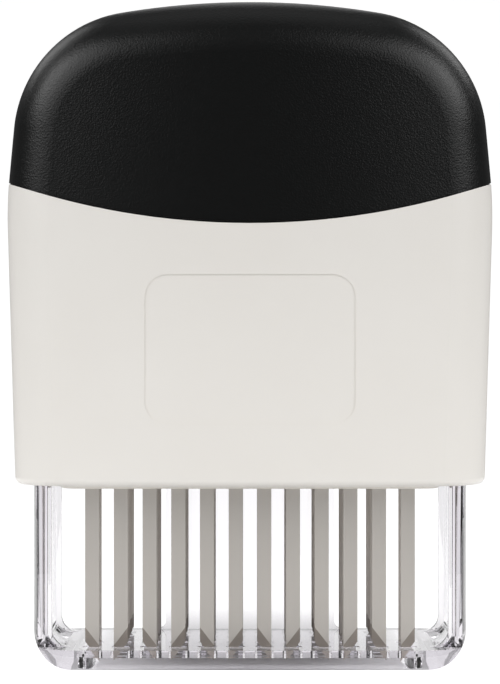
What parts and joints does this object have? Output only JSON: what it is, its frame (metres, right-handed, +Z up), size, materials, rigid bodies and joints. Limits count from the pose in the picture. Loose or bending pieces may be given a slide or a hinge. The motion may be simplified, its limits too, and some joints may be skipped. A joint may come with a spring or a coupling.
{
  "type": "meat tenderizer",
  "caption": "Hand meat tenderizer: a palm-sized head with rows of sharp blades presses down through the slots of a clear sprung guard.",
  "frame": {"origin": "middle of the bounding box at the guard's foot", "axes": "+Z up, the way the tool stands; X along the wide front; -Y towards the front with the faint panel, the guide tongue is at +Y"},
  "size_m": [0.1078, 0.044, 0.146],
  "materials": {
    "clear_plastic": "clear polished plastic with a faint violet-grey tint",
    "white_plastic": "smooth satin-gloss moulded plastic",
    "carrier_plastic": "smooth satin moulded plastic",
    "button_plastic": "satin moulded plastic",
    "black_grip": "fine spark-eroded grain",
    "blade_steel": "polished strip with ground bevels",
    "plate_steel": "stamped sheet",
    "screw_steel": "zinc plated",
    "spring_steel": "drawn wire"
  },
  "bodies": {
    "guard": {"base_guard": "clear_plastic"},
    "press_head": {"blade_carrier": "carrier_plastic", "blade_clamp_plate": "plate_steel", "button_spring_left": "spring_steel", "button_spring_right": "spring_steel", "cap_screws": "screw_steel", "clamp_screws": "screw_steel", "grip_cap": "black_grip", "housing": "white_plastic", "return_spring_front_left": "spring_steel", "return_spring_front_right": "spring_steel", "return_spring_rear_left": "spring_steel", "return_spring_rear_right": "spring_steel", "twin_blade_front_01": "blade_steel", "twin_blade_front_02": "blade_steel", "twin_blade_front_03": "blade_steel", "twin_blade_front_04": "blade_steel", "twin_blade_front_05": "blade_steel", "twin_blade_front_06": "blade_steel", "twin_blade_front_07": "blade_steel", "twin_blade_front_08": "blade_steel", "twin_blade_front_09": "blade_steel", "twin_blade_front_10": "blade_steel", "twin_blade_front_11": "blade_steel", "twin_blade_front_12": "blade_steel", "twin_blade_rear_02": "blade_steel", "twin_blade_rear_03": "blade_steel", "twin_blade_rear_04": "blade_steel", "twin_blade_rear_05": "blade_steel", "twin_blade_rear_06": "blade_steel", "twin_blade_rear_07": "blade_steel", "twin_blade_rear_08": "blade_steel", "twin_blade_rear_09": "blade_steel", "twin_blade_rear_10": "blade_steel", "twin_blade_rear_11": "blade_steel"},
    "button_left": {"release_button_left": "button_plastic"},
    "button_right": {"release_button_right": "button_plastic"}
  },
  "joints": [
    {"name": "press_slide", "type": "slide", "parent": "guard", "child": "press_head", "axis": [0, 0, -1], "range_m": [0, 0.03], "stiffness_N_per_m": 600, "springref_m": -0.01, "deforming": ["return_spring_front_left", "return_spring_front_right", "return_spring_rear_left", "return_spring_rear_right"]},
    {"name": "button_left_push", "type": "slide", "parent": "press_head", "child": "button_left", "axis": [1, 0, 0], "range_m": [0, 0.0015], "stiffness_N_per_m": 400, "springref_m": -0.002, "deforming": ["button_spring_left"]},
    {"name": "button_right_push", "type": "slide", "parent": "press_head", "child": "button_right", "axis": [-1, 0, 0], "range_m": [0, 0.0015], "stiffness_N_per_m": 400, "springref_m": -0.002, "deforming": ["button_spring_right"]}
  ]
}
